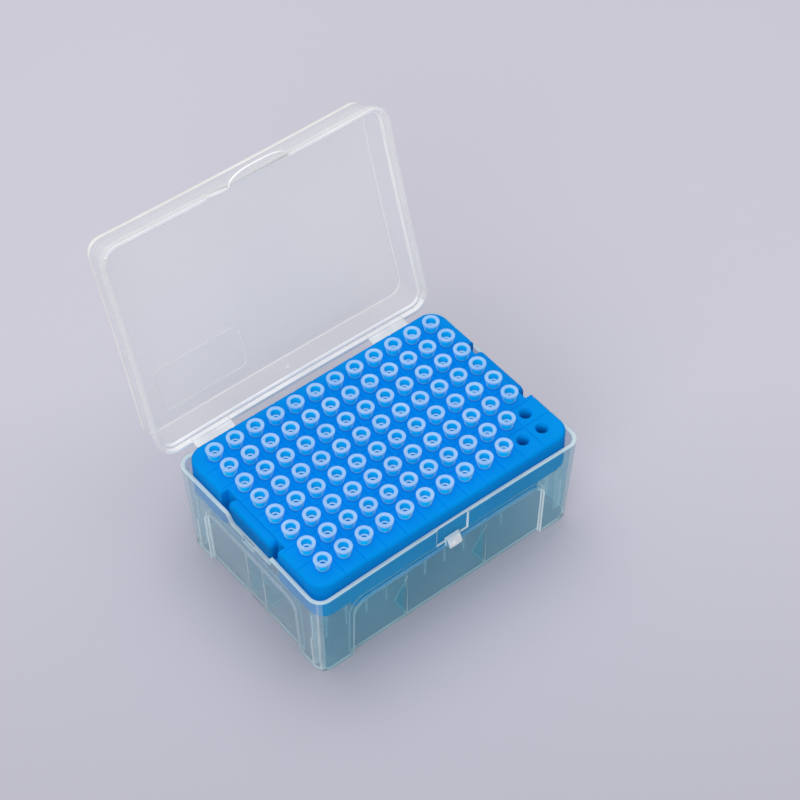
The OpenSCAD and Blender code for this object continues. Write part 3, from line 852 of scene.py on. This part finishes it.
# lid: drawn shut, standing on its mouth, then turned back round the hinge line
lidPlan = {
    "panel": {
        "dark": (0.92, 0.93, 0.93), "light": (0.98, 0.98, 0.95), "cloudScale": 18,
        "roughness": (0.16, 0.24), "specular": 0.4,
        "alpha": 0.2, "glanceAlpha": 0.34, "glanceBlend": 0.2, "cloudAlpha": 0.03,
        "grainScale": 400, "grain": 0.005,
    },
    "wall": {
        "dark": (0.88, 0.91, 0.91), "light": (0.95, 0.97, 0.96), "cloudScale": 40,
        "roughness": (0.16, 0.24), "specular": 0.4,
        "alpha": 0.11, "glanceAlpha": 0.28, "glanceBlend": 0.25, "cloudAlpha": 0.02,
        "grainScale": 400, "grain": 0.005,
    },
    "edge": {
        "dark": (0.94, 0.95, 0.88), "light": (1.0, 1.0, 0.95), "cloudScale": 70,
        "roughness": (0.18, 0.28), "specular": 0.5,
        "alpha": 0.72, "glanceAlpha": 0.86, "glanceBlend": 0.4, "cloudAlpha": 0.08,
        "grainScale": 600, "grain": 0.03,
    },
    "rim": {
        "dark": (0.95, 0.96, 0.98), "light": (1.0, 1.0, 1.0), "cloudScale": 60,
        "roughness": (0.18, 0.28), "specular": 0.5,
        "alpha": 0.86, "glanceAlpha": 0.94, "glanceBlend": 0.4, "cloudAlpha": 0.12,
        "grainScale": 600, "grain": 0.03,
    },
    "haze": {
        "dark": (0.94, 0.95, 0.92), "light": (1.0, 1.0, 0.97), "cloudScale": 40,
        "roughness": (0.18, 0.28), "specular": 0.5,
        "alpha": 0.28, "glanceAlpha": 0.46, "glanceBlend": 0.3, "cloudAlpha": 0.04,
        "grainScale": 400, "grain": 0.005,
    },
    "depth": 87.7, "rearGrow": 1.2, "height": 15.5, "cornerRadius": 8.0,
    "mouthRound": [(0.25, 0.0), (0.08, 0.08), (0.0, 0.25)],  # inset and height
    "bandHeight": 3.3, "bandStep": 1.4, "bandRound": 0.35, "bandSoft": 0.1, "lean": 0.5, "thickness": 1.55,
    "skirtThickness": 1.25, "seatHeight": 2.1, "topFillet": 1.5,
    "bow": 0.6, "seatGap": 0.08,
    "frameX": -31.65, "frameY": 26.6, "frameHalf": (19.35, 8.75), "frameRadius": 3.0,
    "gateSpot": (-0.3, 7.2), "gateRadii": (0.75, 0.35), "gateHeight": 0.5,
    "ribWide": 0.32, "ribDeep": 1.3, "ribInset": 0.2,
    "tabWidth": 35.6, "tabOut": 9.7, "tabDrop": 10.6, "tabTaper": 4.4, "tabThickness": 1.2,
    "tabLip": 4.6, "tabCurl": 0.6, "tabLegShare": 0.6, "tabRise": 0.9, "tabPaintedLightDrop": 1.6,
}
lidParts = ("panel", "edge", "rim", "wall", "haze")
lidMaterials = [clearPlastic("lid" + part.capitalize() + "Plastic", lidPlan[part]) for part in lidParts]
lidHalfX, lidHalfY = nodeBox("lid")[1].x, lidPlan["depth"] / 2
shutZ = baseTop - lidPlan["seatHeight"] + lidPlan["seatGap"]
openLid = (Matrix.Translation(hingePoint) @ Matrix.Rotation(-closedTurn, 4, Vector(hinge["axis"]))
           @ Matrix.Translation((0, -hingePoint.y, shutZ - hingePoint.z)))
bandTop, wallIn = lidPlan["bandHeight"], lidPlan["bandStep"]
height, lean, fillet = lidPlan["height"], lidPlan["lean"], lidPlan["topFillet"]
wallInside = wallIn + lidPlan["thickness"]
innerTop = height - lidPlan["thickness"]


def lidOutside():
    # inset and height of each ring: mouth, band, its step, wall, fillet, panel
    edge, soft = lidPlan["bandRound"], lidPlan["bandSoft"]
    rings = lidPlan["mouthRound"] + [
        (0.0, bandTop - edge), (soft, bandTop - soft), (edge, bandTop),
        (wallIn - edge, bandTop + 0.02), (wallIn - soft, bandTop + soft), (wallIn, bandTop + edge),
        (wallIn + lean * 0.5, (bandTop + height - fillet) / 2),
        (wallIn + lean, height - fillet - 1.3), (wallIn + lean, height - fillet),
    ]
    for step in range(1, 6):
        angle = math.pi / 2 * step / 5
        inset = wallIn + lean + fillet * (1 - math.cos(angle))
        rings.append((inset, height - fillet * (1 - math.sin(angle))))
    return rings + [(wallIn + lean + fillet + 0.8, height)]


def lidInside():
    # the same inside: lip, skirt, the seat that rests on the base's rim, wall, panel
    skirt, seat, top = lidPlan["skirtThickness"], lidPlan["seatHeight"], wallInside + lean
    return [
        (1.0, 0.0), (1.18, 0.08), (skirt, 0.3), (skirt, seat - 0.2), (skirt + 0.2, seat),
        (wallInside - 0.9, seat), (wallInside - 0.3, seat + 0.24), (wallInside, seat + 0.85),
        (top, innerTop - 0.9), (top + 0.26, innerTop - 0.26), (top + 0.9, innerTop), (top + 1.6, innerTop),
    ]


def lidPoint(home, inset, z):
    return stepIn(home, lidHalfX, lidHalfY, lidPlan["cornerRadius"], inset, z)


def lidPart(face):
    # which finish a face of the lid has
    spot, slope = face.calc_center_median(), abs(face.normal.z)
    shortSide = lidHalfX - abs(spot.x) < lidHalfY - abs(spot.y)
    tabOrLeft = spot.x < 0 if shortSide else spot.y < 0
    if spot.z > height - fillet - 1.2 and slope < 0.97:
        piped = slope < 0.9 if tabOrLeft else 0.55 < slope < 0.8  # light caught along the edge of the panel
        return "edge" if piped else "wall"
    if spot.z > innerTop - 1:
        return "panel"
    if shortSide and spot.z < bandTop + 0.1:
        inner = lidHalfX - abs(spot.x) > wallInside - 1 and 0.2 < slope < 0.97
        return "edge" if inner and spot.x > 0 else "haze"
    # painted light: the mouth and the band's sloping faces take the bright rim finish
    if spot.z < bandTop + 0.1 and (spot.z < 0.05 or 0.2 < slope < 0.97):
        return "rim"
    facesTab = face.normal.y < -0.7
    if facesTab and spot.y > 0 and spot.z < lidPlan["seatHeight"]:
        return "rim"  # the inside of the skirt catches the light on the hinge side
    return "haze" if facesTab and spot.y < 0 and spot.z < bandTop else "wall"


bm = bmesh.new()
profile = lidOutside()
start = roundedRing(bm, lidHalfX, lidHalfY, lidPlan["cornerRadius"], 0, 10, 12, 8)
homes = ringHomes(start)
for vert in list(homes):
    vert.co = lidPoint(homes[vert], *profile[0])
ring = start
for inset, z in profile[1:]:
    ring = growRing(bm, ring, homes, lambda home: lidPoint(home, inset, z))
bmesh.ops.contextual_create(bm, geom=ring)
ring = start
for inset, z in lidInside():
    ring = growRing(bm, ring, homes, lambda home: lidPoint(home, inset, z))
bmesh.ops.contextual_create(bm, geom=ring)

# a faint raised frame inside the panel, the gate mark, and thin ribs at the ends of the hinge strips
frameHalfX, frameHalfY = lidPlan["frameHalf"]
frameStart = roundedRing(bm, frameHalfX, frameHalfY, lidPlan["frameRadius"], innerTop + 0.02, 6)
ring = frameStart
homes = ringHomes(ring)
for inset, z in ((0.07, innerTop - 0.1), (0.2, innerTop - 0.1), (0.27, innerTop + 0.02)):
    ring = growRing(bm, ring, homes,
                    lambda home: stepIn(home, frameHalfX, frameHalfY, lidPlan["frameRadius"], inset, z))
buried = set(bmesh.ops.bridge_loops(bm, edges=frameStart + ring)["faces"])
bmesh.ops.translate(bm, vec=(lidPlan["frameX"], lidPlan["frameY"], 0), verts=list(homes))
gateX, gateZ = lidPlan["gateSpot"]
gateTurn = Matrix.Rotation(math.radians(90), 4, "X")
gateSpot = Matrix.Translation((gateX, lidHalfY - wallInside - lean * 0.5 - 0.2, gateZ))
gate = bmesh.ops.create_cone(bm, cap_ends=True, segments=14, radius1=lidPlan["gateRadii"][0],
                             radius2=lidPlan["gateRadii"][1], depth=lidPlan["gateHeight"],
                             matrix=gateSpot @ gateTurn)["verts"]
ribVerts = []
ribSize = Matrix.Diagonal((lidPlan["ribWide"], lidPlan["ribDeep"], bandTop - 0.4, 1))
for side in ("left", "right"):
    low, high = nodeBox("hinge_strip_" + side)
    for x in (low.x + lidPlan["ribInset"], high.x - lidPlan["ribInset"]):
        ribSpot = Matrix.Translation((x, lidHalfY - 0.75, bandTop / 2))
        ribVerts += bmesh.ops.create_cube(bm, size=1, matrix=ribSpot @ ribSize)["verts"]
bmesh.ops.recalc_face_normals(bm, faces=bm.faces)
marks = {f for v in list(gate) + ribVerts + list(homes) for f in v.link_faces} - buried
for vert in bm.verts:
    vert.co = bowedIn(vert.co, lidHalfX, lidHalfY, lidPlan["bow"], lidPlan["bow"])
    if vert.co.y > 0:  # the hinge side reaches a little further
        vert.co.y *= 1 + lidPlan["rearGrow"] / lidHalfY
for face in bm.faces:
    face.material_index = lidParts.index("edge" if face in marks else lidPart(face))
print("lid shell closed:", sum(e.is_boundary for e in bm.edges), "open edges")
bmesh.ops.transform(bm, matrix=openLid, verts=bm.verts)
lid = finishPiece("lidShell", bm, lidMaterials, 34)
evenShading(lid)
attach(lid, "lid")
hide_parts("lid")

# thumb tab: a flared leg that ends in a lip with ogee corners
bm = bmesh.new()
lengthSteps, widthSteps = 14, 30
bmesh.ops.create_grid(bm, x_segments=widthSteps, y_segments=lengthSteps, size=0.5)
legOut = lidPlan["tabOut"] - lidPlan["tabLip"]
legDrop, legShare = lidPlan["tabDrop"] - lidPlan["tabRise"], lidPlan["tabLegShare"]
for vert in bm.verts:
    side, down = vert.co.x * 2, vert.co.y + 0.5
    narrow = min(1, down / legShare)
    x = side * (lidPlan["tabWidth"] / 2 - lidPlan["tabTaper"] * (3 - 2 * narrow) * narrow ** 2)
    lip = 0.4 + (lidPlan["tabLip"] - 0.4) * (1 - abs(side) ** 3.2) ** 0.6
    if down < legShare:
        share = down / legShare
        out, drop = legOut * share ** 1.1, lidPlan["tabDrop"] * share - lidPlan["tabRise"]
    else:  # lip, turned out with a soft bend
        share = (down - legShare) / (1 - legShare)
        out, drop = legOut + lip * share, legDrop + lidPlan["tabCurl"] * (1 - (1 - share) ** 2)
    vert.co = Vector((x, -lidHalfY + lidPlan["bow"] - 0.2 - out, -drop))
bmesh.ops.recalc_face_normals(bm, faces=bm.faces)
# painted light: the leg near the lid's mouth takes the bright rim finish, against the tab's own shade
for face in bm.faces:
    hanging = face.calc_center_median().z < -lidPlan["tabPaintedLightDrop"]
    face.material_index = lidParts.index("wall" if hanging else "rim")
bmesh.ops.transform(bm, matrix=openLid, verts=bm.verts)
tab = finishPiece("thumbTab", bm, lidMaterials, 50)
wall = tab.modifiers.new("tabWall", "SOLIDIFY")
wall.thickness = lidPlan["tabThickness"] * mm
wall.offset = 0
wall.material_offset_rim = -1  # painted light: the cut edges of the leg take the next brighter finish, as bright as the lid's rim
softenEdges(tab, 0.25, 2, 40, lidParts.index("haze"))
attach(tab, "lid")
print("lid ready")


# hinge strips: thin bands from the bracket on the base to the lid's skirt
stripPlan = {
    "look": {
        "dark": (0.92, 0.93, 0.94), "light": (0.99, 0.99, 0.99), "cloudScale": 120,
        "roughness": (0.3, 0.42), "specular": 0.5,
        "alpha": 0.86, "glanceAlpha": 0.95, "glanceBlend": 0.4, "cloudAlpha": 0.1,
        "grainScale": 900, "grain": 0.15,
    },
    "thickness": 0.5, "fold": 0.18, "foldAt": 0.45, "foldWidth": 0.12,
    "intoBracket": 0.5, "intoBand": 0.4, "startUp": 0.35, "endDown": 0.25,
}
stripMaterial = clearPlastic("hingeStripPlastic", stripPlan["look"])
for side in ("left", "right"):
    low, high = nodeBox("hinge_strip_" + side)
    start = Vector(((low.x + high.x) / 2, low.y - stripPlan["intoBracket"], low.z + stripPlan["startUp"]))
    end = Vector((start.x, high.y + stripPlan["intoBand"], high.z - stripPlan["endDown"]))
    bm = bmesh.new()
    bmesh.ops.create_grid(bm, x_segments=12, y_segments=10, size=0.5)
    for vert in bm.verts:
        across, along = vert.co.x * (high.x - low.x), vert.co.y + 0.5
        sag = stripPlan["fold"] * math.exp(-((along - stripPlan["foldAt"]) / stripPlan["foldWidth"]) ** 2)
        vert.co = start.lerp(end, along) + Vector((across, 0, -sag))
    bmesh.ops.recalc_face_normals(bm, faces=bm.faces)
    strip = finishPiece("hingeStrip" + side.capitalize(), bm, [stripMaterial], 50)
    wall = strip.modifiers.new("stripWall", "SOLIDIFY")
    wall.thickness = stripPlan["thickness"] * mm
    wall.offset = 0
    softenEdges(strip, 0.12, 2, 50)
    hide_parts("hinge_strip_" + side)
    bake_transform(strip)
print("hinge strips ready")
